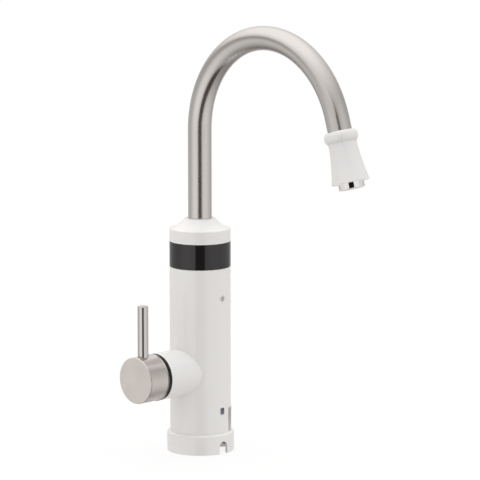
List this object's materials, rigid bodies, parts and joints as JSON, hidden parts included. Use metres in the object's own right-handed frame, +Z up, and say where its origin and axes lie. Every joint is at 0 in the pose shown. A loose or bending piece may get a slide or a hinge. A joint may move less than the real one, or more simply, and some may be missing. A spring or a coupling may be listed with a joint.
{
  "type": "instant water heater tap",
  "caption": "Kitchen tap with an electric instant heater in its column: swivel gooseneck spout, bell nozzle, dark display ring, side lever and threaded inlet in the base.",
  "frame": {"origin": "centre of the inlet's mouth, on the column's axis in the plane that the base stands on", "axes": "+Z up along the column, -Y the way the spout points at rest, -X the way the lever's axis leaves the column"},
  "size_m": [0.119, 0.2561, 0.424],
  "materials": {
    "white_plastic": "glossy moulded ABS",
    "black_gloss": "polished dark acrylic",
    "dark_plastic": "matt moulded plastic",
    "pale_plastic": "matt moulded plastic",
    "steel": "brushed stainless steel",
    "chrome": "polished chrome",
    "brass": "machined brass",
    "rubber": "matt rubber",
    "ceramic": "ground ceramic",
    "circuit_board": "solder mask",
    "red_plastic": "matt moulded plastic"
  },
  "bodies": {
    "column": {"base_ring": "white_plastic", "main_case": "white_plastic", "top_cap": "white_plastic", "window_ring": "black_gloss", "gap_ring": "dark_plastic", "microswitch": "dark_plastic", "flow_switch_cover": "dark_plastic", "display_module": "dark_plastic", "relay": "dark_plastic", "terminal_block": "dark_plastic", "cartridge_housing": "dark_plastic", "thermal_cutout": "dark_plastic", "case_fixing_block": "dark_plastic", "swivel_washer": "pale_plastic", "inlet_strainer": "pale_plastic", "base_screws": "steel", "inlet_pipe": "steel", "service_screw": "steel", "earth_screw": "steel", "cover_screws": "steel", "flow_spring": "steel", "feed_pipes": "steel", "tank_lid": "steel", "tank_shell": "steel", "tank_screws": "steel", "heating_element": "steel", "outlet_pipe": "steel", "inlet_union": "brass", "inlet_nut": "brass", "valve_body": "brass", "cartridge_nut": "brass", "element_terminals": "brass", "temperature_probe": "brass", "spout_socket": "brass", "swivel_nut": "brass", "cable_gland": "rubber", "port_seal": "rubber", "flow_diaphragm": "rubber", "tank_o_ring": "rubber", "fixed_ceramic_disc": "ceramic", "element_bushings": "ceramic", "control_board": "circuit_board", "display_board": "circuit_board"},
    "lever": {"moving_ceramic_disc": "ceramic", "cartridge_spindle": "brass", "spindle_o_ring": "rubber", "handle_cap": "steel", "grub_screw": "steel", "lever_rod": "steel"},
    "plunger": {"flow_plunger": "pale_plastic"},
    "button": {"switch_button": "red_plastic"},
    "spout": {"spout_tube": "steel", "spout_bush": "brass", "spout_o_rings": "rubber", "nozzle_adapter": "brass", "nozzle_bell": "white_plastic", "aerator_washer": "rubber", "aerator_insert": "pale_plastic", "aerator_housing": "chrome"}
  },
  "joints": [
    {"name": "lever_turn", "type": "hinge", "parent": "column", "child": "lever", "pos_m": [-0.0738, 0, 0.0802], "axis": [1, 0, 0], "range_deg": [-90, 90]},
    {"name": "spout_swivel", "type": "hinge", "parent": "column", "child": "spout", "pos_m": [0, 0, 0.2], "axis": [0, 0, 1], "continuous": true},
    {"name": "flow_plunger_slide", "type": "slide", "parent": "column", "child": "plunger", "axis": [1, 0, 0], "range_m": [0, 0.0012], "stiffness_N_per_m": 150, "springref_m": -0.001, "deforming": ["flow_spring"]},
    {"name": "switch_button_slide", "type": "slide", "parent": "column", "child": "button", "axis": [1, 0, 0], "range_m": [0, 0.0012]}
  ],
  "couplings": [
    {"joint": "switch_button_slide", "follows": "flow_plunger_slide", "ratio": 1}
  ]
}
